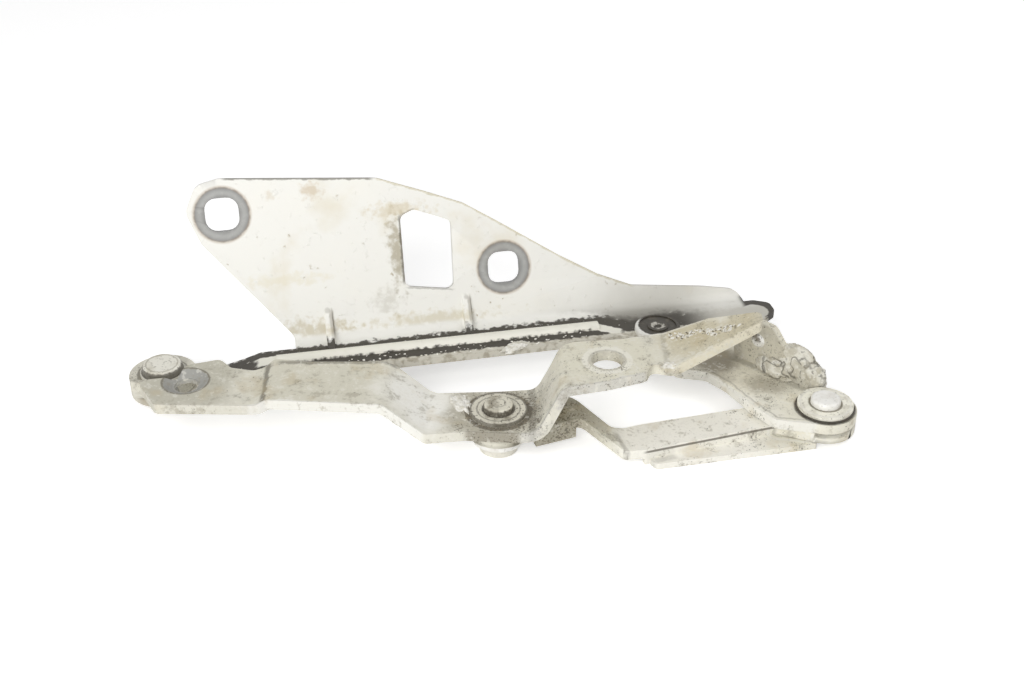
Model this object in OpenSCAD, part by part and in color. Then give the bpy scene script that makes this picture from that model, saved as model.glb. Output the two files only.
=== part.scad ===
// Bonnet hinge with a folding stay, lying on its side with the pivot axes upright.
// X runs along the hinge to the knee of the stay, Y from the body side to the bonnet side.

/* [Pivots] */
// Main pivot to stay foot, along the hinge
main_back = 131; // [126:0.5:136]
// Main pivot above the stay foot, towards the bonnet
main_rise = 32; // [30:0.5:34]
// Stay foot to knee, along the hinge
knee_ahead = 123; // [119:0.5:127]
// Knee above the stay foot
knee_rise = 10; // [8:0.5:12]
// Stay foot to stay top, along the hinge
top_ahead = 64; // [61:0.5:67]
// Stay top above the stay foot
top_rise = 60; // [58:0.5:62]

/* [Plates] */
// Thickness of the body bracket
body_t = 4; // [3:0.25:5]
// Thickness of the bonnet bracket
bonnet_t = 3; // [2.5:0.25:3.5]
// Thickness of the two stay links
stay_t = 4; // [3:0.25:4.5]
// Radius of the bends in the plates
bend_r = 5; // [3:0.5:6]
// Radius of the rounded link ends
end_r = 12; // [11:0.5:13]

/* [Body bracket] */
// Height of the raised middle above the stay foot pad
middle_lift = 7.7; // [6:0.1:9]
// Height of the bolt pad above the stay foot pad
pad_lift = 17.7; // [16:0.1:20]
// Drop of the front bolt tab below the raised middle
tab_drop = 2.8; // [2:0.1:3]
// Drop of the main pivot ear below the front bolt tab
ear_drop = 8.8; // [8.4:0.1:9]
// Bolt hole radius in the bolt pad
pad_hole_r = 6; // [5:0.1:6.5]
// Bolt hole radius in the front tab
tab_hole_r = 4.5; // [4:0.1:5]
// Radius of the dish round the front bolt hole
dish_r = 8.6; // [8:0.1:9.5]
// Depth of the dish
dish_h = 2.2; // [1.4:0.1:2.6]
// Slope of the stop tab
stop_slope = 16; // [10:1:20]
// Length of the stop tab
stop_len = 37; // [30:1:40]

/* [Bonnet bracket] */
// Turn of the web from the hinge's length
web_turn = 11.5; // [10:0.5:13]
// Lean of the flange behind upright
flange_lean = 19; // [10:1:25]
// Height of the flange along its slope at the main end
flange_h = 68; // [64:1:72]
// Width of the stiffening bead in the web
bead_w = 6; // [4:0.5:7]
// Height of the bead
bead_h = 1.6; // [1:0.1:2]
// Width of the darts in the bend
dart_w = 3; // [2:0.5:5]
// Side of the squarish bonnet bolt holes
bolt_square = 13; // [11:0.5:14]
// Corner radius of the bonnet bolt holes
bolt_corner = 4.5; // [3:0.5:5.5]
// Drop of the web's eye below the web
eye_drop = 6.5; // [6:0.1:7]

/* [Stay] */
// Raise of the lower link's foot above its strip
foot_raise = 5.2; // [4:0.1:6]
// Depth of the lower link's lip
lip_h = 6.8; // [6:0.1:7]
// Thickness of the foot along the lip
foot_t = 2.5; // [2:0.1:2.7]
// Height of the upper link's wall
wall_h = 19; // [14:1:22]
// Radius of the enlarged hole at the stay top
top_hole_r = 8.2; // [8:0.1:8.4]

/* [Rivets] */
// Radius of the rivet shanks
shank_r = 4; // [3.5:0.1:4.5]
// Wall of the pivot bushes
bush_wall = 1.25; // [1:0.05:1.5]
// Radius of the pivot washers
washer_r = 10.5; // [9.5:0.1:11]
// Thickness of the washers
washer_t = 1.3; // [1:0.1:1.6]
// Radius of the rivet heads
head_r = 5.6; // [5:0.1:6.5]
// Height of the rivet heads
head_h = 2.5; // [1.5:0.1:3]
// Radius of the closed rivet tails
tail_r = 8; // [7:0.1:9]
// Running gap between a shank and its bush
run_gap = 0.05; // [0.02:0.01:0.09]
// Gap between faces that turn on each other
face_gap = 0.3; // [0.2:0.05:0.4]
// Height of the rivet tails above the surface that the hinge lies on
rest_gap = 0.2; // [0.1:0.05:0.4]

/* [Hidden] */
$fn = 64;

// Levels, from the surface that the hinge lies on
strip_z = lip_h - stay_t;
foot_z = strip_z + foot_raise;
upper_z = strip_z + stay_t + face_gap;
body_z = foot_z + stay_t + face_gap;
web_z = upper_z + stay_t + face_gap;
eye_z = web_z - eye_drop;
ear_top = body_z + body_t + middle_lift - tab_drop - ear_drop;
ear_z = ear_top - body_t;

// Pivot places, from the stay foot
foot = [0, 0];
main = [-main_back, main_rise];
knee = [knee_ahead, knee_rise];
top = [top_ahead, top_rise];
bush_r = shank_r + run_gap + bush_wall;
eye_r = end_r + 1;
frame_x = (main.x - eye_r + knee.x + end_r) / 2;
flange_r = 4;
corner_back = flange_r * tan((90 - flange_lean) / 2);
corner_y = 8;
flange_y = corner_y - corner_back;
web_end = 249;
flange_end = web_end - 10;
bend_from = 52;
near_y = -14.9;
far_y = main.y + (flange_end - 2.55) * sin(web_turn)
    + (flange_y + (flange_r + bonnet_t) * cos(flange_lean)) * cos(web_turn);
frame_y = (near_y + far_y) / 2;

// Corner points replaced by arcs, for an open path or a closed outline
function corner(a, b, c, r, steps = 5) =
    let (u = (a - b) / norm(a - b), v = (c - b) / norm(c - b),
         half = acos(max(-1, min(1, u * v))) / 2,
         reach = min(r / tan(half), 0.45 * min(norm(a - b), norm(c - b))),
         radius = reach * tan(half), middle = b + (u + v) / norm(u + v) * radius / sin(half),
         start = b + u * reach - middle, side = sign(u.x * v.y - u.y * v.x),
         sweep = -side * (180 - 2 * half))
    half > 89.5 ? [b] : [for (i = [0:steps]) let (t = sweep * i / steps)
        middle + [start.x * cos(t) - start.y * sin(t), start.x * sin(t) + start.y * cos(t)]];
function eased(path, r, steps = 5) =
    let (n = len(path))
    concat([path[0]], [for (i = [1:n - 2]) each corner(path[i - 1], path[i], path[i + 1], r, steps)],
           [path[n - 1]]);
function rounded(outline, r) =
    let (n = len(outline))
    [for (i = [0:n - 1]) each corner(outline[(i + n - 1) % n], outline[i], outline[(i + 1) % n], r)];

// Lower side of a bent plate whose upper side is the path
function side(path, i) =
    let (a = path[max(i - 1, 0)], b = path[min(i + 1, len(path) - 1)], d = (b - a) / norm(b - a)) [d.y, -d.x];
function below(path, t) = [for (i = [len(path) - 1:-1:0]) path[i] + side(path, i) * t];

// A bent plate: its side view along X, cut to an outline seen from above
module bent_plate(path, t, r, reach = 200) {
    top_side = eased(path, r);
    intersection() {
        rotate([90, 0, 0]) linear_extrude(2 * reach, center = true)
            polygon(concat(top_side, below(top_side, t)));
        translate([0, 0, -1]) linear_extrude(reach) children();
    }
}
module at(place, z) { translate([place.x, place.y, z]) children(); }
module ring(outer, inner, h) {
    difference() {
        cylinder(r = outer, h = h);
        translate([0, 0, -1]) cylinder(r = inner, h = h + 2);
    }
}
module in_frame() { translate([-frame_x, -frame_y, 0]) children(); }
module web_frame() { translate(main) rotate([0, 0, web_turn]) children(); }

// Body bracket: pressed plate with raised bolt pads and lowered pivot pads
pad_x = 40;
pad_y = 7.5;
tab_hole = [main.x + 13.5, main.y - 19];
main_washer_r = head_r + 3;
body_top = body_z + body_t;
middle_top = body_top + middle_lift;
tab_top = middle_top - tab_drop;
pad_top = body_top + pad_lift;
stop_x = 62;
module body_outline() {
    polygon(rounded([[main.x + 5, -3], [-92, -3.5], [-42, -7], [-27, -15], [-12, -13], [8, -14.5], [19, -13],
                     [27, -10], [pad_x, -6.5], [54, -1], [56, 5], [65, 2], [98, 18], [98, 25], [79, 29], [60, 26],
                     [46, 22], [28, 20], [19, 15], [0, 13], [-23, 12], [-39, 22], [-72, 22], [-86, 24], [-93, 20],
                     [main.x + 29, 22], [main.x + 24, 28], [main.x + 12, 24], [main.x + 9, main.y - 16],
                     [main.x - 5, main.y - 19]], 3));
}
module body_bracket() {
    stop_rise = stop_len * tan(stop_slope);
    color([0.66, 0.64, 0.58]) in_frame() difference() {
        union() {
            bent_plate([[-150, tab_top], [-89, tab_top], [-85, middle_top], [-43, middle_top], [-26, body_top],
                        [14, body_top], [23, pad_top], [stop_x, pad_top], [stop_x + stop_len, pad_top + stop_rise]],
                       body_t, bend_r) body_outline();
            ear();
        }
        at(foot, 0) cylinder(r = shank_r + run_gap, h = 60);
        at(main, 0) cylinder(r = shank_r + run_gap, h = 60);
        at([pad_x, pad_y], 0) cylinder(r = pad_hole_r, h = 60);
        at(tab_hole, 0) cylinder(r = tab_hole_r, h = 60);
        at(tab_hole, tab_top - dish_h) cylinder(r1 = tab_hole_r + 0.6, r2 = dish_r, h = dish_h + 0.01);
    }
}
// Ear that steps down from the front tab to the main pivot, bent along Y
module ear() {
    translate([main.x, 0, 0]) rotate([0, 0, 90])
        bent_plate([[-10, tab_top], [main.y - 17, tab_top], [main.y - 12, ear_top], [60, ear_top]], body_t, bend_r)
            rotate([0, 0, -90]) translate([-main.x, 0]) union() {
                translate(main) circle(r = eye_r);
                polygon([[main.x - end_r + 1, main.y + 4], [main.x - 7, main.y - 20],
                         [main.x + 8, main.y - 22], [main.x + 8.4, main.y - 9], [main.x + end_r - 1, main.y - 4]]);
            }
}

// Bonnet bracket: leaning flange for the bonnet, bead-stiffened web with an eye at the main pivot
web_near = -14;
web_top = web_z + bonnet_t;
top_local = [(top - main) * [cos(web_turn), sin(web_turn)], (top - main) * [-sin(web_turn), cos(web_turn)]];
module web_outline() {
    union() {
        circle(r = eye_r);
        translate(top_local) circle(r = eye_r);
        polygon(rounded([[2, -9], [16, -6], [34, -6], [48, web_near], [web_end - 8, web_near + 2],
                         [web_end, -6], [web_end, 1], [web_end - 6, flange_y - 1], [44, flange_y - 1],
                         [32, 4], [14, 6], [2, 10]], 3));
    }
}
module flange_outline() {
    difference() {
        polygon(rounded([[bend_from, -20], [bend_from, 3], [20, 43], [15, 56], [20, flange_h - 2], [29, flange_h],
                         [90, flange_h - 5], [109, flange_h - 12], [124, flange_h - 18], [138, flange_h - 27],
                         [162, 25], [178, 15.5], [192, 9.5], [222, 6], [flange_end, 3], [flange_end, -20]], 6));
        for (place = [[29, 54], [138.5, 22.5]])
            translate(place)
                polygon(rounded([for (s = [[-1, -1], [1, -1], [1, 1], [-1, 1]]) s * bolt_square / 2], bolt_corner));
        polygon(rounded([[98, 18.5], [117.6, 15.5], [118.3, 43.5], [103.5, 49.4], [98, 47]], 3));
    }
}
// Flange with its bend: side view along the web, cut to the outline seen square on
module flange() {
    up = flange_h + 5;
    inner = eased([[flange_y - 6, web_top], [corner_y, web_top],
                   [corner_y + up * sin(flange_lean), web_top + up * cos(flange_lean)]], flange_r, 8);
    intersection() {
        rotate([90, 0, 90]) linear_extrude(flange_end + 20) polygon(concat(inner, below(inner, bonnet_t)));
        translate([0, corner_y, web_top]) rotate([90 - flange_lean, 0, 0]) translate([0, 0, -20])
            linear_extrude(40) flange_outline();
    }
}
module bonnet_bracket() {
    eye_top = eye_z + bonnet_t;
    color([0.9, 0.89, 0.84]) in_frame() web_frame() difference() {
        union() {
            bent_plate([[-40, eye_top], [18, eye_top], [38, web_top], [300, web_top]], bonnet_t, bend_r, 320)
                web_outline();
            flange();
            for (along = [66, 122]) translate([along, 0, 0]) dart();
            translate([44, 0, web_top]) bead(130);
        }
        cylinder(r = bush_r + 0.02, h = 60);
        translate([top_local.x, top_local.y, 0]) cylinder(r = shank_r + run_gap, h = 60);
    }
}
// Pressed dart that stiffens the bend between web and flange
module dart() {
    foot_out = 7;
    climb = 13;
    rotate([90, 0, 90]) linear_extrude(dart_w, center = true)
        polygon([[corner_y - foot_out, web_top - 1], [corner_y - foot_out, web_top + 0.2],
                 [corner_y - 1.5, web_top + 4.5],
                 [corner_y + climb * sin(flange_lean) - 0.2, web_top + climb * cos(flange_lean)],
                 [corner_y + climb * sin(flange_lean) + 1, web_top + climb * cos(flange_lean) - 1],
                 [corner_y + 1, web_top - 0.5]]);
}
// Stiffening bead: a low round-topped rib along the web
module bead(length) {
    rotate([0, 90, 0]) translate([0, -bead_w / 2, 0]) linear_extrude(length) intersection() {
        scale([bead_h * 2 / bead_w, 1]) circle(r = bead_w / 2);
        translate([-bead_w, -bead_w / 2]) square([bead_w, bead_w]);
    }
}

// Lower stay: joggled link from the stay foot to the knee, with a lip along its near edge
lip_from = [54, -11];
lip_to = knee + [-19, -5];
module lower_outline() {
    union() {
        circle(r = end_r);
        translate(knee) circle(r = end_r);
        polygon(rounded([[4, -10], [14, -5], [31, 2], [46, -12], lip_from, lip_to, knee + [-5, -11], knee + [1, 10],
                         knee + [-26, 7], [53, 5], [42, 1], [27, 16], [4, 11]], 3));
    }
}
// Turned-out foot along the bottom of the lip, widening towards the knee
module lip_foot() {
    linear_extrude(foot_t)
        polygon(rounded([lip_from + [1, 1.5], lip_from + [4, -3], knee + [-1, -10.5], knee + [-9, -8],
                         lip_to + [-1, 1]], 2));
}
module lip(a, b, low, high, t) {
    d = (b - a) / norm(b - a);
    translate([a.x, a.y, low]) rotate([0, 0, atan2(d.y, d.x)]) cube([norm(b - a), t, high - low]);
}
module lower_stay() {
    strip_top = strip_z + stay_t;
    foot_top = foot_z + stay_t;
    color([0.7, 0.68, 0.62]) in_frame() difference() {
        union() {
            bent_plate([[-20, foot_top], [30, foot_top], [47, strip_top], [150, strip_top]], stay_t, bend_r)
                lower_outline();
            lip(lip_from, lip_to, 0, strip_top - 0.6, 2.5);
            lip_foot();
            lip([14, -5], [29, 1.2], strip_z + 1, foot_top - 0.6, 2.5);
        }
        cylinder(r = bush_r + 0.02, h = 60);
        at(knee, -1) cylinder(r = shank_r + run_gap, h = 60);
    }
}

// Upper stay: curved link from the knee to the stay top, with an upturned wall
module upper_outline() {
    union() {
        translate(knee) circle(r = end_r);
        translate(top) circle(r = eye_r);
        polygon(rounded([top + [-1, -13], top + [6, -24], top + [17, -26], knee + [-35, 16], knee + [-28, 3],
                         knee + [-20, -8], knee + [-5, -11], knee + [11, 4], knee + [3, 14], knee + [-9, 26],
                         top + [34, -9], top + [12, 5]], 4));
    }
}
module upper_stay() {
    color([0.6, 0.58, 0.52]) in_frame() difference() {
        union() {
            at(foot, upper_z) linear_extrude(stay_t) upper_outline();
            stay_wall();
        }
        at(knee, 0) cylinder(r = bush_r + 0.02, h = 60);
        at(top, 0) cylinder(r = top_hole_r, h = 60);
    }
}
wall_from = top + [31.5, -10];
wall_to = knee + [-1, 14];
wall_t = 3;
wall_hole = [11, wall_h - 8];
module wall_frame() {
    d = wall_to - wall_from;
    translate([wall_from.x, wall_from.y, upper_z + stay_t]) rotate([0, 0, atan2(d.y, d.x)])
        rotate([90, 0, 0]) children();
}
module stay_wall() {
    length = norm(wall_to - wall_from);
    wall_frame() difference() {
        translate([0, -1, 0]) linear_extrude(wall_t)
            polygon(rounded([[0, 0], [length, 0], [length - 3, wall_h * 0.45], [length - 11, wall_h * 0.62],
                             [22, wall_h * 0.75], [17, wall_h + 1], [5, wall_h + 1], [0, wall_h * 0.6]], 4));
        translate([wall_hole.x, wall_hole.y, -1]) cylinder(r = 2, h = wall_t + 2);
    }
}

// Riveted pivots: a shank with a washered head above and a closed tail below
module rivet(low, high, r = head_r, h = head_h) {
    translate([0, 0, low]) cylinder(r = shank_r, h = high - low);
    translate([0, 0, high]) rotate_extrude()
        polygon(concat([[0, 0], [r, 0], [r, h * 0.55]],
                       [for (a = [15:25:90]) [r - h * 0.45 * (1 - cos(a)), h * (0.55 + 0.45 * sin(a))]],
                       [[0, h]]));
    translate([0, 0, rest_gap]) cylinder(r1 = tail_r - 0.8, r2 = tail_r, h = low - rest_gap);
}

main_low = eye_z - face_gap - washer_t;
module main_rivet() {
    color([0.78, 0.76, 0.7]) in_frame() at(main, 0) rivet(main_low, ear_top + washer_t, main_washer_r - 0.8, 3);
}
module main_washer() {
    color([0.75, 0.73, 0.66]) in_frame() at(main, ear_top) ring(main_washer_r, shank_r + run_gap, washer_t);
}
module main_bush() {
    color([0.55, 0.45, 0.3]) in_frame() at(main, eye_z) ring(bush_r, shank_r + run_gap, bonnet_t);
}
module main_spacer() {
    color([0.5, 0.5, 0.48]) in_frame() at(main, eye_z + bonnet_t + face_gap)
        ring(washer_r, shank_r + run_gap, ear_z - eye_z - bonnet_t - face_gap);
}
module main_tail() {
    color([0.6, 0.58, 0.54]) in_frame() at(main, main_low) ring(washer_r - 1, shank_r + run_gap, washer_t);
}

collar_h = 3;
foot_low = foot_z - face_gap - collar_h;
module foot_rivet() { color([0.52, 0.49, 0.42]) in_frame() at(foot, 0) rivet(foot_low, body_top + washer_t); }
module foot_washer() {
    color([0.5, 0.47, 0.4]) in_frame() at(foot, body_top) ring(washer_r, shank_r + run_gap, washer_t);
}
module foot_bush() { color([0.55, 0.45, 0.3]) in_frame() at(foot, foot_z) ring(bush_r, shank_r + run_gap, stay_t); }
module foot_spacer() {
    color([0.4, 0.4, 0.4]) in_frame() at(foot, body_z - face_gap * 0.7)
        ring(washer_r - 2, shank_r + run_gap, face_gap * 0.7);
}
module foot_collar() {
    color([0.8, 0.79, 0.75]) in_frame() at(foot, foot_low) ring(washer_r - 0.6, shank_r + run_gap, collar_h);
}

knee_top = upper_z + stay_t + face_gap;
seal_t = 0.6;
module knee_rivet() {
    color([0.86, 0.85, 0.8]) in_frame() at(knee, 0) rivet(strip_z, knee_top + seal_t + washer_t);
}
module knee_washer() {
    color([0.72, 0.7, 0.64]) in_frame() at(knee, knee_top + seal_t) ring(washer_r, shank_r + run_gap, washer_t);
}
module knee_seal() {
    color([0.15, 0.15, 0.15]) in_frame() at(knee, knee_top) ring(washer_r + 0.6, shank_r + run_gap, seal_t);
}
module knee_bush() { color([0.55, 0.45, 0.3]) in_frame() at(knee, upper_z) ring(bush_r, shank_r + run_gap, stay_t); }
module knee_spacer() {
    color([0.4, 0.4, 0.4]) in_frame() at(knee, strip_z + stay_t)
        ring(washer_r - 2, shank_r + run_gap, face_gap * 0.7);
}

top_low = upper_z - face_gap - washer_t;
disc_r = 9.2;
disc_h = 2.6;
module top_rivet() {
    color([0.12, 0.12, 0.12]) in_frame() at(top, 0) difference() {
        rivet(top_low, web_top, disc_r, disc_h);
        translate([0, 0, web_top + disc_h - 0.9]) cylinder(r1 = 1.2, r2 = 2.2, h = 1);
        translate([0, 0, web_top + disc_h - 0.5]) ring(disc_r - 1.6, 4.2, 1);
    }
}
module top_washer() {
    color([0.4, 0.4, 0.38]) in_frame() at(top, top_low) ring(washer_r + 0.5, shank_r + run_gap, washer_t);
}
module wall_rivet() {
    color([0.8, 0.78, 0.74]) in_frame() wall_frame() translate([wall_hole.x, wall_hole.y, -0.8]) {
        cylinder(r = 1.95, h = wall_t + 1);
        translate([0, 0, wall_t + 0.8]) cylinder(r1 = 3, r2 = 2.2, h = 0.9);
        translate([0, 0, -0.2]) cylinder(r = 3, h = 0.99);
    }
}

body_bracket();
bonnet_bracket();
lower_stay();
upper_stay();
main_rivet();
main_washer();
main_bush();
main_spacer();
main_tail();
foot_rivet();
foot_washer();
foot_bush();
foot_spacer();
foot_collar();
knee_rivet();
knee_washer();
knee_seal();
knee_bush();
knee_spacer();
top_rivet();
top_washer();
wall_rivet();
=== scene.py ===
import math
import bmesh
import bpy
from mathutils import Matrix, Vector, noise


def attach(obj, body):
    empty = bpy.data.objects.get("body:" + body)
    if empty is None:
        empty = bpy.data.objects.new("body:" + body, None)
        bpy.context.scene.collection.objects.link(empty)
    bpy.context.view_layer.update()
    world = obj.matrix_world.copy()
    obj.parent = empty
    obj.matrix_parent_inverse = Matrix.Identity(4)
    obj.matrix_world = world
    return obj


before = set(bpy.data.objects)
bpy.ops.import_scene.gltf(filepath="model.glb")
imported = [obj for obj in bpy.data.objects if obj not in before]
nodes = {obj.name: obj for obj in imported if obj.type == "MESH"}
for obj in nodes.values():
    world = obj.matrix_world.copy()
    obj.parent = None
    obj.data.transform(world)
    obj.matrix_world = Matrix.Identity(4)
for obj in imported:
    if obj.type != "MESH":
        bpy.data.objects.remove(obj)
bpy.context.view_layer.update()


# Bonnet bracket: one pressing of 3 mm sheet that turns on the main pivot and is bolted to the bonnet.
# The flange is in cream body paint with grey washer marks and rust stains. The web is black,
# with a worn cream bead pressed along it.
class Field:
    """A shader socket that can be used in sums."""

    def __init__(self, tree, socket):
        self.tree, self.socket = tree, socket

    def math(self, operation, *others):
        node = add_node(self.tree, "ShaderNodeMath", [self, *others], operation=operation)
        return Field(self.tree, node.outputs[0])

    def __add__(self, other): return self.math("ADD", other)
    def __sub__(self, other): return self.math("SUBTRACT", other)
    def __mul__(self, other): return self.math("MULTIPLY", other)
    def __rsub__(self, other): return (self * -1.0) + other
    __radd__, __rmul__ = __add__, __mul__

    def size(self): return self.math("ABSOLUTE")
    def root(self): return self.math("SQRT")

    def step(self, start, end):
        """0 before start, 1 after end, smooth between them."""
        node = add_node(self.tree, "ShaderNodeMapRange", [self, start, end, 0.0, 1.0],
                        interpolation_type="SMOOTHSTEP")
        return Field(self.tree, node.outputs[0])

    def band(self, low, high, soft):
        """1 from low to high, 0 outside, with soft edges."""
        return self.step(low - soft, low + soft) * (1.0 - self.step(high - soft, high + soft))


def add_node(tree, kind, sockets=(), **settings):
    """Adds a node. Its sockets get values or links, in order or, from a dict, by name or number."""
    node = tree.nodes.new(kind)
    for name, value in settings.items():
        setattr(node, name, value)
    for key, value in sockets.items() if isinstance(sockets, dict) else enumerate(sockets):
        value = value.socket if isinstance(value, Field) else value
        if isinstance(value, bpy.types.NodeSocket):
            tree.links.new(value, node.inputs[key])
        else:
            node.inputs[key].default_value = value
    return node


class Paint:
    """A material on object coordinates in millimetres, built from fields."""

    def __init__(self, name):
        self.material = bpy.data.materials.new(name)
        self.material.use_nodes = True
        self.tree = self.material.node_tree
        place = add_node(self.tree, "ShaderNodeTexCoord").outputs["Object"]
        scaled = add_node(self.tree, "ShaderNodeVectorMath", [place, (1000.0,) * 3], operation="MULTIPLY")
        self.point = scaled.outputs[0]
        parts = add_node(self.tree, "ShaderNodeSeparateXYZ", [self.point]).outputs
        self.x, self.y, self.z = (Field(self.tree, part) for part in parts)

    def noise(self, grain, detail=4.0, shift=0.0):
        """Noise from about 0.25 to 0.75 whose lumps are about grain millimetres wide."""
        moved = add_node(self.tree, "ShaderNodeMapping", {"Vector": self.point, "Location": (shift,) * 3})
        node = add_node(self.tree, "ShaderNodeTexNoise",
                        {"Vector": moved.outputs[0], "Scale": 1.0 / grain, "Detail": detail})
        return Field(self.tree, node.outputs[0])

    def mix(self, mask, under, over):
        """Colour over where mask is 1, colour under where it is 0."""
        under, over = (c if isinstance(c, Field) else (*c, 1.0) for c in (under, over))
        node = add_node(self.tree, "ShaderNodeMix", {0: mask, 6: under, 7: over}, data_type="RGBA")
        return Field(self.tree, node.outputs[2])

    def finish(self, colour, roughness=0.6, metallic=0.0, relief=None, depth=0.2):
        """Joins colour, roughness, metalness and a relief depth millimetres high to the shader."""
        shader = self.tree.nodes["Principled BSDF"]
        for name, value in (("Base Color", colour), ("Roughness", roughness), ("Metallic", metallic)):
            if isinstance(value, Field):
                self.tree.links.new(value.socket, shader.inputs[name])
            else:
                shader.inputs[name].default_value = value
        if relief is not None:
            bump = add_node(self.tree, "ShaderNodeBump",
                            {"Strength": 1.0, "Distance": depth / 1000.0, "Height": relief})
            self.tree.links.new(bump.outputs[0], shader.inputs["Normal"])
        return self.material


def coat(material, *names):
    for name in names:
        mesh = nodes[name].data
        if mesh.materials:
            mesh.materials[0] = material
        else:
            mesh.materials.append(material)


def distance(u, v, place):
    """Distance from place, where u and v are the fields of the plane."""
    du, dv = u - place[0], v - place[1]
    return (du * du + dv * dv).root()


def crease(u, v, start, end, width, wander):
    """1 along the line from start to end, 0 beside it, where u and v are the fields of the plane."""
    run = Vector(end) - Vector(start)
    length = run.length
    run.normalize()
    du, dv = u - start[0], v - start[1]
    beside = (dv * run.x - du * run.y + wander).size()
    return (1.0 - beside.step(width * 0.25, width)) * (du * run.x + dv * run.y).band(0.0, length, 1.5)


# The main pivot, the web's turn, the flange's lean, and places along and up the bracket in millimetres.
MAIN, TURN, LEAN = (-126.5, -5.885), math.radians(11.5), math.radians(19)
BEND_ACROSS, WEB_TOP, FLANGE_H = 8.0, 14.4, 68
DARTS, DART_TOP = (66.0, 122.0), 12.0
BOLT_HOLES = ((29.0, 54.0), (138.5, 22.5))
BEAD_ACROSS, BEAD_ENDS = -3.0, (36.0, 183.0)
TIP, TIP_RIM = (240.6, -4.9), 5.2
CREAM, IVORY, BLACK = (0.86, 0.85, 0.80), (0.88, 0.86, 0.79), (0.046, 0.040, 0.030)
RUST, GREY, MID_GREY = (0.33, 0.20, 0.09), (0.19, 0.19, 0.185), (0.36, 0.36, 0.35)
GRIME_AND_SHADE, YELLOWED, FRECKLE = (0.085, 0.072, 0.05), (0.66, 0.57, 0.37), (0.40, 0.33, 0.21)
DART_SHADE, DART_TIP_SHADE = (0.22, 0.19, 0.13), (0.24, 0.22, 0.17)
BEND_SHADE, SHADED = (0.34, 0.32, 0.26), (0.10, 0.09, 0.07)
CHIPPED, BEAD_PAINT, TIP_PAINT = (0.62, 0.60, 0.54), (0.88, 0.86, 0.77), (0.66, 0.64, 0.57)
RIM_PALE, RIM_DARK = (0.70, 0.67, 0.58), (0.46, 0.42, 0.33)
EYE_PALE, EYE_DARK = (0.68, 0.65, 0.56), (0.30, 0.25, 0.17)

paint = Paint("bonnet bracket paint")
dx, dy = paint.x - MAIN[0], paint.y - MAIN[1]
along = dx * math.cos(TURN) + dy * math.sin(TURN)
across = dy * math.cos(TURN) - dx * math.sin(TURN)
up = (across - BEND_ACROSS) * math.sin(LEAN) + (paint.z - WEB_TOP) * math.cos(LEAN)
patches, specks, fine = paint.noise(26), paint.noise(2.6, 6.0, 40.0), paint.noise(0.7, 3.0, 11.0)
drift, chips = patches - 0.5, specks - 0.5
sweep = along.step(150.0, 196.0) * 5.2
flange = (up + sweep + drift * 4.0 + chips * 2.6).step(1.2, 3.6)

colour = paint.mix(patches.step(0.5, 0.72) * 0.5, CREAM, IVORY)
colour = paint.mix(paint.noise(34, 5.0, 90.0).step(0.54, 0.70) * 0.38, colour, YELLOWED)
freckles = specks.step(0.66, 0.72) * paint.noise(16, 2.0, 5.0).step(0.48, 0.6)
colour = paint.mix(freckles * 0.8, colour, FRECKLE)
# Each stain: its place along and up the flange, its reach both ways, its tint and its strength.
for place_along, place_up, reach_along, reach_up, tint, amount in (
        (64.0, 60.0, 5.0, 3.5, (0.52, 0.38, 0.20), 0.5),
        (48.0, 60.0, 3.0, 2.5, (0.52, 0.40, 0.22), 0.35),
        (96.0, 33.0, 3.2, 15.0, (0.36, 0.31, 0.20), 0.75),
        (97.0, 50.0, 12.0, 3.5, (0.58, 0.48, 0.28), 0.5),
        (90.0, 14.0, 7.0, 5.0, (0.45, 0.42, 0.34), 0.4),
        (60.0, 5.0, 14.0, 4.5, (0.50, 0.43, 0.27), 0.6),
        (110.0, 4.5, 30.0, 3.0, (0.55, 0.48, 0.30), 0.5),
        (52.0, 26.0, 16.0, 2.5, (0.74, 0.68, 0.50), 0.4)):
    off_along, off_up = (along - place_along) * (1.0 / reach_along), (up - place_up) * (1.0 / reach_up)
    spread = (off_along * off_along + off_up * off_up).root() + drift * 1.6 + chips * 3.2
    colour = paint.mix((1.0 - spread.step(0.1, 1.3)) * amount, colour, tint)
# Dark lines in the window's edges and along the flange's top, then yellowed paint down its sloping edge.
lines = [
    ((97.8, 20.0), (97.8, 47.0), 1.1, GRIME_AND_SHADE, 0.75),
    ((98.0, 47.0), (103.5, 49.4), 0.9, GRIME_AND_SHADE, 0.4),
    ((98.5, 18.2), (117.0, 15.4), 0.6, GRIME_AND_SHADE, 0.35),
    ((31.0, FLANGE_H - 0.2), (88.0, FLANGE_H - 4.9), 0.8, GRIME_AND_SHADE, 0.7),
]
slope_edge = [(90.0, FLANGE_H - 5), (109.0, FLANGE_H - 12), (124.0, FLANGE_H - 18), (138.0, FLANGE_H - 27),
              (162.0, 25.0), (178.0, 15.5), (192.0, 9.5)]
lines += [(a, b, 1.0, (0.52, 0.46, 0.25), 0.5) for a, b in zip(slope_edge, slope_edge[1:])]
for start, end, width, tint, amount in lines:
    colour = paint.mix(crease(along, up, start, end, width, chips * 1.6) * amount, colour, tint)
# Painted shade down one side of each dart and at its top.
for dart in DARTS:
    side = (along - dart - 1.3 + chips).size()
    shaded_side = (1.0 - side.step(0.3, 1.3)) * up.band(1.0, DART_TOP, 1.5)
    colour = paint.mix(shaded_side * 0.55, colour, DART_SHADE)
    dart_tip = distance(along, up, (dart, DART_TOP)) + chips * 2.0
    colour = paint.mix((1.0 - dart_tip.step(0.3, 1.5)) * 0.4, colour, DART_TIP_SHADE)
# Painted shade where the flange turns into the web: darker toward its far end and its foot, and darkest along
# the foot there.
far_bend_shade = (along - up * 1.4 + drift * 50.0).step(140.0, 200.0) * (1.0 - along.step(206.0, 232.0) * 0.7)
colour = paint.mix(far_bend_shade * 0.45, colour, BEND_SHADE)
colour = paint.mix((1.0 - up.step(-4.0, 4.0)) * along.band(150.0, 214.0, 16.0) * 0.75, colour, SHADED)

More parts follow.
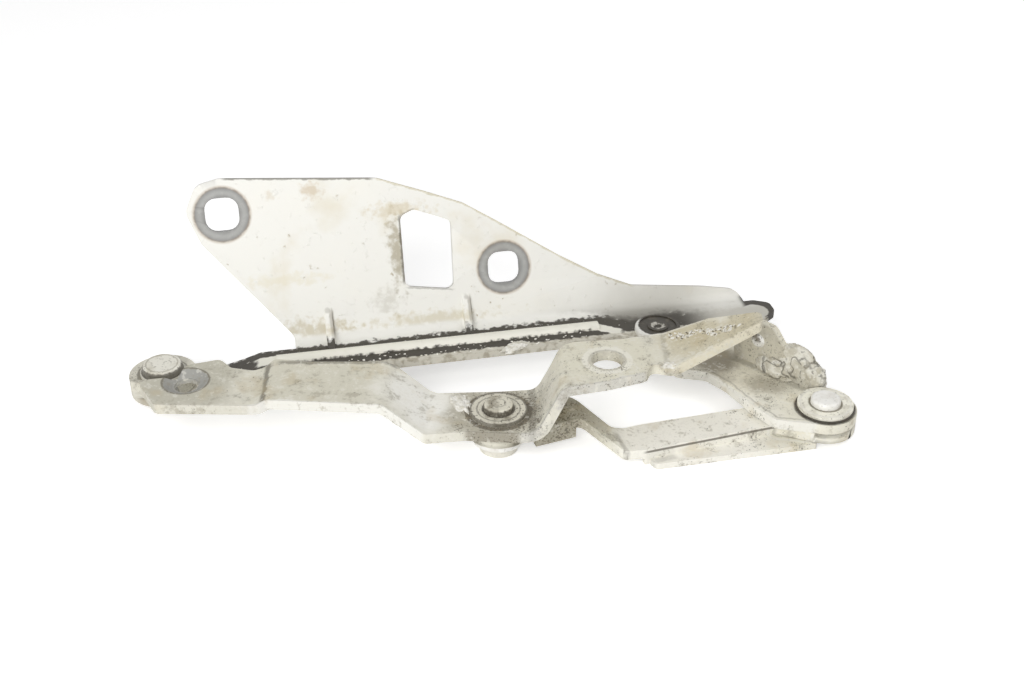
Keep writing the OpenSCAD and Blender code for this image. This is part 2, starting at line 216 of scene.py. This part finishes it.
web = paint.mix(specks.step(0.66, 0.70) * 0.8, BLACK, CHIPPED)
bead = (across - BEAD_ACROSS + along.step(170.0, 188.0) * 9.0).size()
worn = (1.0 - (bead + chips * 2.6).step(2.6, 3.3)) * (along + chips * 6.0).band(*BEAD_ENDS, 1.2)
web = paint.mix(worn * 0.94, web, BEAD_PAINT)
spilled = (across + chips * 9.0).step(3.2, 5.2) * (1.0 - along.step(170.0, 215.0))
web = paint.mix(spilled * 0.9, web, CREAM)
inside_edge = across - along * 0.012 + 14.6
rim = 1.0 - (inside_edge + chips * 4.0).step(2.0, 3.0)
rim_tone = paint.mix(specks.step(0.44, 0.64), RIM_PALE, RIM_DARK)
web = paint.mix(rim * along.step(40.0, 60.0) * 0.85, web, rim_tone)
eye = paint.mix(patches.step(0.45, 0.6) * 0.7, EYE_PALE, EYE_DARK)
web = paint.mix(1.0 - (along + chips * 8.0).step(15.0, 22.0), web, eye)
tip_away = distance(along, across, TIP) + chips * 1.5
crescent = tip_away.step(TIP_RIM, TIP_RIM + 0.8) * along.step(236.0, 239.0) * (1.0 - up.step(0.0, 1.5))
web = paint.mix(along.step(208.0, 228.0) * (1.0 - crescent) * 0.9, web, TIP_PAINT)

colour = paint.mix(flange * (1.0 - crescent), web, colour)
for hole in BOLT_HOLES:
    away = distance(along, up, hole)
    washer_mark = (away + chips * 1.2).band(4.0, 10.8, 0.4) * flange
    tone = paint.mix(away.band(7.6, 9.6, 0.8) * 0.7 + specks.step(0.45, 0.7) * 0.3, GREY, MID_GREY)
    colour = paint.mix(washer_mark * 0.88, colour, tone)
    colour = paint.mix(away.band(10.4, 11.4, 0.5) * flange * 0.35, colour, RUST)
relief = fine * 0.25 + specks.step(0.6, 0.7) + worn * 0.5
coat(paint.finish(colour, 0.42 + specks * 0.3, 0.0, relief, 0.12), "bonnet_bracket")


WELD_GAP, EDGE_EASE, SHARP = 2e-6, 0.00045, math.radians(50)


def ease_edges(*names):
    """Joins a plate's loose triangles and rounds its sharp edges."""
    for name in names:
        weld = nodes[name].modifiers.new("weld", "WELD")
        weld.merge_threshold = WELD_GAP
        soft = nodes[name].modifiers.new("soft edges", "BEVEL")
        soft.width, soft.segments = EDGE_EASE, 2
        soft.limit_method, soft.angle_limit = "ANGLE", SHARP
        soft.use_clamp_overlap = True


ease_edges("bonnet_bracket")


# Body bracket: 4 mm pressed plate in worn grey primer, bolted to the body at its tab and its pad.
# It is dark with road dirt round the stay foot, painted pale as a highlight where it slopes, and yellowed at
# the stop tab.
OCHRE, BROWN, CHALK, DIRT = (0.50, 0.40, 0.22), (0.30, 0.265, 0.19), (0.80, 0.78, 0.71), (0.10, 0.085, 0.06)


def primer(name, base, zones, rings, creases, grubby, shift, shade_lines=()):
    """Primer with broad tints, rings, lines and painted shadow lines, and with flecks that grubby places
    thicken.
    """
    p = Paint(name)
    broad, mid = p.noise(24, 5.0, shift), p.noise(6, 6.0, shift + 9.0)
    grit, fine = p.noise(1.3, 4.0, shift + 30.0), p.noise(0.5, 3.0, shift + 3.0)
    c = p.mix(mid.step(0.4, 0.66), base, tuple(v * 0.86 for v in base))
    for place, inner, outer, tint, amount in zones:
        away = distance(p.x, p.y, place) + (broad - 0.5) * 26.0 + (mid - 0.5) * 12.0
        c = p.mix((1.0 - away.step(inner, outer)) * amount, c, tint)
    for place, inner, outer, tint, amount in rings:
        c = p.mix((distance(p.x, p.y, place) + (grit - 0.5)).band(inner, outer, 0.3) * amount, c, tint)
    for start, end, width, tint, amount in creases:
        wander = (mid - 0.5) * 3.0 + (grit - 0.5)
        c = p.mix(crease(p.x, p.y, start, end, width, wander) * amount, c, tint)
    c = p.mix((mid + (grit - 0.5) * 0.8).step(0.54, 0.76) * 0.42, c, BROWN)
    c = p.mix(p.noise(11, 6.0, shift + 70.0).step(0.56, 0.70) * 0.3, c, OCHRE)
    c = p.mix((1.0 - (grit + (mid - 0.5) * 1.2).step(0.28, 0.4)) * 0.4, c, CHALK)
    # Painted shadow lines: dark only between the given heights, under a plate's edge.
    for start, end, low, high, amount in shade_lines:
        c = p.mix(crease(p.x, p.y, start, end, 2.4, 0.0) * p.z.band(low, high, 0.2) * amount, c, GRIME_AND_SHADE)
    flecks = p.noise(0.75, 3.0, shift + 50.0) + (broad - 0.5) * 0.3 + (mid - 0.5) * 0.4
    for place, reach, more in grubby:
        flecks = flecks + (1.0 - distance(p.x, p.y, place).step(reach * 0.4, reach)) * more
    c = p.mix(flecks.step(0.64, 0.73) * 0.75, c, DIRT)
    return p.finish(c, 0.48 + grit * 0.35, 0.1, mid * 0.8 + grit * 0.6 + fine * 0.25, 0.22)


FOOT, TAB_HOLE, PAD_HOLE = (4.5, -37.885), (-113.0, -24.885), (44.5, -30.385)
PALE, YELLOWISH_EDGE, DULL, DIRTY = (0.86, 0.85, 0.80), (0.74, 0.72, 0.63), (0.60, 0.585, 0.54), (0.30, 0.275, 0.22)
# Each zone or ring: its middle, its inner and outer radius, its tint and its strength.
body_zones = [
    ((-112.0, -27.0), 12.0, 26.0, (0.50, 0.48, 0.395), 0.85),
    ((-62.0, -27.0), 14.0, 34.0, (0.64, 0.615, 0.51), 0.8),
    # Painted highlight: the slope down to the stay foot faces the lamps and is painted pale.
    ((-27.0, -34.0), 9.0, 20.0, (0.88, 0.87, 0.82), 0.9),
    (FOOT, 13.0, 22.0, (0.40, 0.37, 0.29), 0.8),
    ((44.5, -30.0), 12.0, 24.0, (0.74, 0.71, 0.58), 0.85),
    ((86.0, -14.0), 12.0, 26.0, (0.58, 0.52, 0.36), 0.85),
    ((88.0, -7.0), 4.0, 10.0, (0.80, 0.77, 0.66), 0.7),
]
body_rings = [
    (TAB_HOLE, 4.4, 8.4, (0.30, 0.30, 0.29), 0.8),
    (TAB_HOLE, 8.4, 9.2, GRIME_AND_SHADE, 0.7),
    (PAD_HOLE, 5.8, 7.2, (0.50, 0.48, 0.42), 0.6),
    (PAD_HOLE, 7.2, 9.4, (0.90, 0.88, 0.80), 0.5),
    (FOOT, 10.6, 12.6, GRIME_AND_SHADE, 0.75),
    (MAIN, 8.4, 10.0, GRIME_AND_SHADE, 0.7),
]
# Each crease: its ends, its width, its tint and its strength. The dark creases are painted shade in folds and
# steps, and the near edges are creases too.
body_creases = [
    ((-81.5, -42.0), (-83.5, -15.0), 1.6, GRIME_AND_SHADE, 0.7),
    ((-79.0, -16.5), (-34.0, -16.5), 1.8, GRIME_AND_SHADE, 0.55),
    ((66.5, -37.0), (66.5, -12.0), 1.6, GRIME_AND_SHADE, 0.25),
    ((17.0, -54.0), (17.0, -20.0), 2.2, GRIME_AND_SHADE, 0.5),
    ((-117.0, -41.5), (-80.0, -42.0), 1.5, (0.24, 0.21, 0.15), 0.5),
]
# The near edges are painted pale as highlights where they face the lamps, yellowish at the tab and the slope,
# dirty at the stay foot and dull grey along the pad.
near_edge = [(-121.5, -40.9), (-87.5, -41.4), (-37.5, -44.9), (-22.5, -52.9), (-7.5, -50.9), (12.5, -52.4),
             (31.5, -47.9), (44.5, -44.4), (58.5, -38.9)]
edge_tints = [YELLOWISH_EDGE, PALE, PALE, YELLOWISH_EDGE, DIRTY, DULL, DULL, DULL]
body_creases += [(a, b, 1.0, tint, 0.75) for a, b, tint in zip(near_edge, near_edge[1:], edge_tints)]
# Painted highlights: two more pale edge lines.
body_creases += [
    ((70.0, -35.6), (102.0, -19.9), 1.0, (0.78, 0.73, 0.58), 0.85),
    ((46.0, -16.3), (82.0, -9.3), 0.8, PALE, 0.4),
]
# Each grubby place: its middle, its reach, and how much thicker the flecks are there.
body_grubby = [
    ((-30.0, -34.0), 24.0, -0.12), (FOOT, 26.0, 0.10), ((-110.0, -34.0), 26.0, -0.06),
    ((-62.0, -26.0), 26.0, -0.04), ((52.0, -40.0), 12.0, 0.08),
]
coat(primer("body bracket primer", (0.76, 0.735, 0.635), body_zones, body_rings, body_creases, body_grubby,
            0.0), "body_bracket")
ease_edges("body_bracket")


# Stay links: two pressed plates in the same primer, riveted to each other at the knee.
# The lower one has a lip along its near edge, with a painted shadow line under the plate's edge. The upper
# one has an upturned wall and a curved near edge, painted pale as a highlight.
KNEE = (127.5, -27.885)
stay_zones = [
    # Painted shadow: the lower stay where it runs under the body bracket's pad.
    ((24.0, -34.0), 14.0, 28.0, (0.36, 0.33, 0.25), 0.85),
    ((84.0, -36.0), 16.0, 34.0, (0.90, 0.88, 0.81), 0.85),
    ((103.0, 0.0), 12.0, 24.0, (0.76, 0.72, 0.59), 0.75),
    (KNEE, 13.0, 22.0, (0.80, 0.77, 0.65), 0.7),
    ((62.0, -42.0), 9.0, 20.0, (0.92, 0.90, 0.83), 0.8),
    # Painted shadow of the stop tab on the upper stay.
    ((88.0, 3.0), 5.0, 15.0, (0.20, 0.17, 0.12), 0.8),
    ((108.0, -12.0), 3.0, 11.0, (0.24, 0.21, 0.15), 0.6),
]
stay_rings = [(KNEE, 10.4, 11.6, GRIME_AND_SHADE, 0.75)]
stay_creases = [
    # Painted shade at the lip's left end, along the foot of the upturned wall and across the lower stay's
    # bend.
    ((60.0, -50.6), (70.0, -47.2), 2.6, GRIME_AND_SHADE, 0.3),
    ((97.6, 7.2), (124.6, -18.0), 3.0, GRIME_AND_SHADE, 0.4),
    ((48.0, -40.0), (52.0, -52.0), 1.5, GRIME_AND_SHADE, 0.35),
]
# The curved near edge is painted pale as a highlight, with a line of painted shade just inside it.
curved_edge = [(74.5, -1.9), (85.5, -3.9), (92.5, -11.9), (99.5, -24.9), (107.5, -35.9), (122.5, -38.9)]
stay_creases += [(a, b, 0.9, PALE, 0.65) for a, b in zip(curved_edge, curved_edge[1:])]
inner_line = [(x + 1.4, y + 1.5) for x, y in curved_edge]
stay_creases += [(a, b, 0.7, GRIME_AND_SHADE, 0.32) for a, b in zip(inner_line, inner_line[1:])]
stay_grubby = [((24.0, -34.0), 18.0, 0.08), ((116.0, -14.0), 16.0, 0.05), ((62.0, -44.0), 18.0, -0.06)]
# The painted shadow line: its ends, its lowest and highest point, and its strength.
lip_shade_lines = [((58.5, -48.9), (110.0, -32.4), 5.1, 6.1, 0.8)]
coat(primer("stay primer", (0.80, 0.775, 0.665), stay_zones, stay_rings, stay_creases, stay_grubby,
            200.0, lip_shade_lines), "lower_stay", "upper_stay")
ease_edges("lower_stay", "upper_stay")


# Rivets and washers: turned steel with dull zinc and rings of packed dirt, brown at the stay foot
# and brightest at the knee. The stay top rivet is black, the bushes bronze, the knee ring rubber.
TOP = (68.5, 22.115)
SOOT, TAIL_ZINC = (0.06, 0.05, 0.036), (0.80, 0.78, 0.70)


def steel(name, base, dirt, dark, metal=0.3, centre=None, rings=(), tail=None):
    """Steel with dirt. Rings have a radius, a width, a tint and a strength; below tail it is pale."""
    p = Paint(name)
    mid, grit = p.noise(5, 5.0, dirt * 50.0), p.noise(0.9, 4.0, 17.0)
    c = p.mix(mid.step(0.46, 0.68) * dirt, base, dark)
    c = p.mix(grit.step(0.58, 0.66) * dirt, c, tuple(v * 0.4 for v in dark))
    for radius, width, tint, amount in rings:
        away = distance(p.x, p.y, centre) + (grit - 0.5) * 0.8
        c = p.mix(away.band(radius - width / 2, radius + width / 2, 0.25) * amount, c, tint)
    if tail is not None:
        c = p.mix((1.0 - (p.z + (grit - 0.5)).step(tail - 0.4, tail + 0.4)) * 0.85, c, TAIL_ZINC)
    return p.finish(c, 0.36 + mid * 0.4, metal, grit, 0.1)


coat(steel("main pivot zinc", (0.78, 0.76, 0.68), 0.5, (0.42, 0.38, 0.28), 0.3, MAIN,
           [(7.8, 0.9, SOOT, 0.8), (6.1, 0.5, (0.30, 0.27, 0.2), 0.6)]),
     "main_rivet", "main_washer", "main_spacer", "main_tail")
foot_rings = [(5.8, 0.8, SOOT, 0.9), (8.0, 0.5, SOOT, 0.6), (10.3, 0.7, SOOT, 0.7), (2.6, 0.5, SOOT, 0.4)]
coat(steel("stay foot steel", (0.66, 0.63, 0.53), 0.8, (0.25, 0.22, 0.16), 0.2, FOOT, foot_rings, 8.0),
     "foot_rivet", "foot_washer", "foot_spacer")
coat(steel("knee pale zinc", (0.90, 0.89, 0.85), 0.25, (0.5, 0.45, 0.35), 0.1), "foot_collar", "knee_rivet")
coat(steel("wall rivet zinc", (0.88, 0.87, 0.83), 0.9, (0.22, 0.19, 0.14), 0.3), "wall_rivet")
coat(steel("knee washer zinc", (0.86, 0.84, 0.74), 0.5, (0.42, 0.39, 0.30), 0.3, KNEE,
           [(6.0, 0.9, (0.16, 0.14, 0.1), 0.85), (9.4, 0.8, (0.75, 0.73, 0.66), 0.7)]),
     "knee_washer", "knee_spacer")
coat(steel("tail washer zinc", (0.50, 0.48, 0.42), 0.6, (0.28, 0.25, 0.18)), "top_washer")
coat(steel("bush bronze", (0.50, 0.36, 0.18), 0.4, (0.25, 0.17, 0.08), 0.9),
     "main_bush", "foot_bush", "knee_bush")
coat(steel("seal rubber", (0.055, 0.048, 0.036), 0.6, (0.13, 0.11, 0.08), 0.0), "knee_seal")

p = Paint("black rivet paint")
mid, grit = p.noise(3, 5.0, 25.0), p.noise(0.8, 4.0, 12.0)
from_top = distance(p.x, p.y, TOP)
c = p.mix(mid.step(0.5, 0.7) * 0.6, BLACK, (0.12, 0.105, 0.08))
# A pale broken ring round the middle of the head.
pale_ring = (from_top + (grit - 0.5) * 2.0).band(1.4, 2.7, 0.3) * mid.step(0.44, 0.54)
c = p.mix(pale_ring * 0.85, c, (0.60, 0.58, 0.52))
# Painted highlight: the head's rim is pale on the side toward the key lamp.
lamp_side = 1.0 - (p.x - TOP[0] + p.y - TOP[1] + (grit - 0.5) * 6.0).step(-5.0, 0.0)
c = p.mix((from_top + (grit - 0.5) * 1.2).step(7.6, 8.2) * lamp_side * 0.95, c, PALE)
coat(p.finish(c, 0.4 + mid * 0.3, 0.0, grit, 0.1), "top_rivet")


# Lumps left on the hinge: torn grey sealer on the upper link's wall, and crusts of pale paint
# on the body bracket and the web. Each is a lump pressed onto its plate.
LUMP_GRAIN, LUMP_FADE, LUMP_STEP, LUMP_LAYERS = 1.7, 0.8, 2.1, 5


def lump(name, place, radii, turn, seed, rough, body, material):
    mesh = bpy.data.meshes.new(name)
    shape = bmesh.new()
    bmesh.ops.create_icosphere(shape, subdivisions=5, radius=1.0)
    move = (Matrix.Translation(Vector(place) / 1000) @ Matrix.Rotation(math.radians(turn), 4, "Z")
            @ Matrix.Diagonal((*(r / 1000 for r in radii), 1.0)))
    for v in shape.verts:
        spot = v.co * LUMP_GRAIN + Vector((seed, 0, 0))
        away = noise.fractal(spot, LUMP_FADE, LUMP_STEP, LUMP_LAYERS)
        v.co = move @ (v.co * (1.0 + rough * away))
    for face in shape.faces:
        face.smooth = True
    shape.to_mesh(mesh)
    shape.free()
    mesh.materials.append(material)
    o = bpy.data.objects.new(name, mesh)
    bpy.context.collection.objects.link(o)
    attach(o, body)


WALL_TURN = -44
p = Paint("torn sealer")
mid, grit = p.noise(4, 6.0, 61.0), p.noise(1.2, 5.0, 8.0)
c = p.mix(mid.step(0.4, 0.62), (0.74, 0.72, 0.64), (0.52, 0.49, 0.40))
c = p.mix((1.0 - mid.step(0.34, 0.42)) * 0.6, c, (0.09, 0.078, 0.06))
c = p.mix(grit.step(0.6, 0.68) * 0.6, c, (0.82, 0.80, 0.74))
crack = 1.0 - (p.noise(11, 2.0, 33.0) - 0.5 + (grit - 0.5) * 0.03).size().step(0.004, 0.016)
crack = crack * p.noise(16, 1.0, 71.0).step(0.46, 0.54)
c = p.mix(crack * 0.55, c, GRIME_AND_SHADE)
sealer = p.finish(c, 0.8, 0.0, mid + grit * 0.5 - crack * 0.8, 0.5)
lump("sealer_upper", (118.8, -6.4, 17.6), (10.5, 3.5, 7.6), WALL_TURN, 3.0, 0.21, "upper_link", sealer)
lump("sealer_lower", (125.2, -12.4, 15.4), (5.6, 3.3, 6.2), WALL_TURN, 9.0, 0.24, "upper_link", sealer)
lump("sealer_front", (112.6, -4.6, 13.4), (9.0, 3.4, 4.4), WALL_TURN, 14.0, 0.21, "upper_link", sealer)

p = Paint("pale paint crust")
mid = p.noise(2, 5.0, 5.0)
c = p.mix(mid.step(0.4, 0.66), (0.86, 0.84, 0.78), (0.66, 0.63, 0.54))
crust = p.finish(c, 0.6, 0.0, mid, 0.3)
lump("crust_stay_foot", (-9.5, -33.0, 16.3), (3.2, 5.4, 0.7), 24, 1.0, 0.5, "body_side", crust)
lump("crust_stop_tab", (67.0, -34.2, 34.2), (2.6, 1.7, 0.8), 12, 5.0, 0.5, "body_side", crust)
lump("crust_web", (10.7, 9.6, 14.5), (5.2, 2.6, 0.8), 40, 7.0, 0.5, "bonnet_side", crust)


# Flakes: chipped paint standing on the stop tab and the web, and grit packed on the tab and round
# the stay foot. They are scattered over small patches of the plates and stay where they lie.
scatter = bpy.data.node_groups.new("scattered flakes", "GeometryNodeTree")
sockets = {}
for label, kind in (("Patch", "Geometry"), ("Density", "Float"), ("Seed", "Int"), ("Smallest", "Vector"),
                    ("Largest", "Vector"), ("Coat", "Material")):
    socket = scatter.interface.new_socket(label, in_out="INPUT", socket_type="NodeSocket" + kind)
    sockets[label] = socket.identifier
scatter.interface.new_socket("Flakes", in_out="OUTPUT", socket_type="NodeSocketGeometry")
given = add_node(scatter, "NodeGroupInput").outputs
points = add_node(scatter, "GeometryNodeDistributePointsOnFaces",
                  {"Mesh": given["Patch"], "Density": given["Density"], "Seed": given["Seed"]}).outputs
sizes = add_node(scatter, "FunctionNodeRandomValue", {0: given["Smallest"], 1: given["Largest"], "Seed": 4},
                 data_type="FLOAT_VECTOR")
turns = add_node(scatter, "FunctionNodeRandomValue",
                 {0: (-0.2, -0.2, 0.0), 1: (0.2, 0.2, 6.2832), "Seed": 9}, data_type="FLOAT_VECTOR")
flake = add_node(scatter, "GeometryNodeMeshIcoSphere", {"Radius": 1.0, "Subdivisions": 2})
placed = add_node(scatter, "GeometryNodeInstanceOnPoints",
                  {"Points": points["Points"], "Instance": flake.outputs["Mesh"],
                   "Rotation": points["Rotation"], "Scale": sizes.outputs[0]})
turned = add_node(scatter, "GeometryNodeRotateInstances",
                  {"Instances": placed.outputs[0], "Rotation": turns.outputs[0]})
real = add_node(scatter, "GeometryNodeRealizeInstances", {"Geometry": turned.outputs[0]})
coated = add_node(scatter, "GeometryNodeSetMaterial",
                  {"Geometry": real.outputs[0], "Material": given["Coat"]})
add_node(scatter, "NodeGroupOutput", {"Flakes": coated.outputs[0]})


def flakes(name, corners, density, seed, smallest, largest, material, body):
    """Flakes on the patch between the corners, given in millimetres; density per square millimetre."""
    mesh = bpy.data.meshes.new(name)
    mesh.from_pydata([tuple(v / 1000 for v in c) for c in corners], [], [tuple(range(len(corners)))])
    o = bpy.data.objects.new(name, mesh)
    bpy.context.collection.objects.link(o)
    spread = o.modifiers.new("scatter", "NODES")
    spread.node_group = scatter
    least, most = ([v / 1000 for v in size] for size in (smallest, largest))
    for label, value in (("Density", density * 1e6), ("Seed", seed), ("Smallest", least),
                         ("Largest", most), ("Coat", material)):
        spread[sockets[label]] = value
    baked = bpy.data.meshes.new_from_object(o.evaluated_get(bpy.context.evaluated_depsgraph_get()))
    o.modifiers.clear()
    o.data = baked
    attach(o, body)


p = Paint("packed grit")
grit_tone = p.mix(p.noise(1.5, 4.0, 2.0).step(0.4, 0.65), (0.13, 0.11, 0.075), (0.30, 0.26, 0.19))
packed_grit = p.finish(grit_tone, 0.9)

STOP_BEND_X, STOP_TOP, STOP_SLOPE = 66.5, 34.0, math.tan(math.radians(16))
tab_outline = ((67.0, -15.5), (73.0, -18.8), (79.0, -18.0), (85.0, -21.6), (91.0, -20.4), (95.5, -18.6),
               (90.0, -16.6), (85.0, -17.4), (79.5, -14.0), (74.0, -14.8), (69.0, -12.9))
tab_patch = [(x, y, STOP_TOP + (x - STOP_BEND_X) * STOP_SLOPE) for x, y in tab_outline]
flakes("flakes_stop_tab", tab_patch, 0.8, 3, (0.25, 0.2, 0.05), (1.15, 0.6, 0.22), crust, "body_side")
flakes("grit_stop_tab", tab_patch, 0.8, 8, (0.15, 0.12, 0.05), (0.6, 0.4, 0.18), packed_grit, "body_side")

web_patch = [(MAIN[0] + a * math.cos(TURN) - c * math.sin(TURN),
              MAIN[1] + a * math.sin(TURN) + c * math.cos(TURN), WEB_TOP)
             for a, c in ((50, -12.5), (170, -11.5), (170, -6.5), (50, -6.5))]
flakes("flakes_web", web_patch, 0.08, 5, (0.2, 0.2, 0.04), (0.8, 0.6, 0.15), crust, "bonnet_side")

DIP_TOP = 16.3
foot_patch = [(FOOT[0] + r * math.cos(t), FOOT[1] + r * math.sin(t), DIP_TOP)
              for r, angles in ((12.4, range(20, 350, 15)), (10.9, range(335, 5, -15)))
              for t in map(math.radians, angles)]
flakes("grit_stay_foot", foot_patch, 1.3, 11, (0.12, 0.12, 0.05), (0.42, 0.42, 0.2), packed_grit, "body_side")


# Studio: a pale floor that looks white away from the shadows, two soft lamps, and a world that is
# white to the eye and dimmer as light. The camera stands where the photograph was taken.
FLOOR_LIFT, WORLD_LIGHT, WORLD_SEEN = 0.42, 0.36, 1.0
FLOOR_HALF, FLOOR_Z, FLOOR_WHITE = 3, -0.0002, (0.95, 0.95, 0.95, 1)
LAMP_AIM = Vector((0, 0, 0.03))


def looked_at(tree):
    """1 for rays that the camera, a gloss or a clear material sends, 0 for light on the object."""
    path = add_node(tree, "ShaderNodeLightPath").outputs
    seen = path["Is Camera Ray"]
    for name in ("Is Glossy Ray", "Is Transmission Ray"):
        seen = add_node(tree, "ShaderNodeMath", [seen, path[name]], operation="MAXIMUM").outputs[0]
    return seen


floor_mesh = bpy.data.meshes.new("floor")
floor_corners = [(x * FLOOR_HALF, y * FLOOR_HALF, 0) for x, y in ((-1, -1), (1, -1), (1, 1), (-1, 1))]
floor_mesh.from_pydata(floor_corners, [], [(0, 1, 2, 3)])
floor = bpy.data.objects.new("floor", floor_mesh)
bpy.context.collection.objects.link(floor)
pale = bpy.data.materials.new("floor white")
pale.use_nodes = True
tree = pale.node_tree
matt = tree.nodes["Principled BSDF"]
matt.inputs["Base Color"].default_value = FLOOR_WHITE
matt.inputs["Roughness"].default_value = 0.9
lift = add_node(tree, "ShaderNodeMath", [looked_at(tree), FLOOR_LIFT], operation="MULTIPLY").outputs[0]
glow = add_node(tree, "ShaderNodeEmission", {"Strength": lift})
both = add_node(tree, "ShaderNodeAddShader", [matt.outputs[0], glow.outputs[0]])
tree.links.new(both.outputs[0], tree.nodes["Material Output"].inputs["Surface"])
floor_mesh.materials.append(pale)
floor.location.z = FLOOR_Z

world = bpy.data.worlds.new("studio")
bpy.context.scene.world = world
world.use_nodes = True
tree = world.node_tree
strength = add_node(tree, "ShaderNodeMapRange", [looked_at(tree), 0.0, 1.0, WORLD_LIGHT, WORLD_SEEN])
tree.links.new(strength.outputs[0], tree.nodes["Background"].inputs["Strength"])
tree.nodes["Background"].inputs["Color"].default_value = (1, 1, 1, 1)

for name, place, size, power in (("key", (-0.3, -0.8, 0.55), 0.6, 6.4), ("fill", (0.6, 0.1, 0.9), 0.8, 2.6)):
    light = bpy.data.lights.new(name, "AREA")
    light.size, light.energy = size, power
    o = bpy.data.objects.new(name, light)
    o.location = place
    o.rotation_euler = (LAMP_AIM - o.location).to_track_quat("-Z", "Y").to_euler()
    bpy.context.collection.objects.link(o)

camera = bpy.data.objects.new("camera", bpy.data.cameras.new("camera"))
camera.data.lens, camera.data.sensor_width = 50.0, 36.0
camera.data.clip_start = 0.01
camera.location = (0.0095, -0.4694, 0.3168)
camera.rotation_euler = (math.radians(58), 0, 0)
bpy.context.collection.objects.link(camera)
bpy.context.scene.camera = camera
bpy.context.scene.view_settings.view_transform = "Standard"
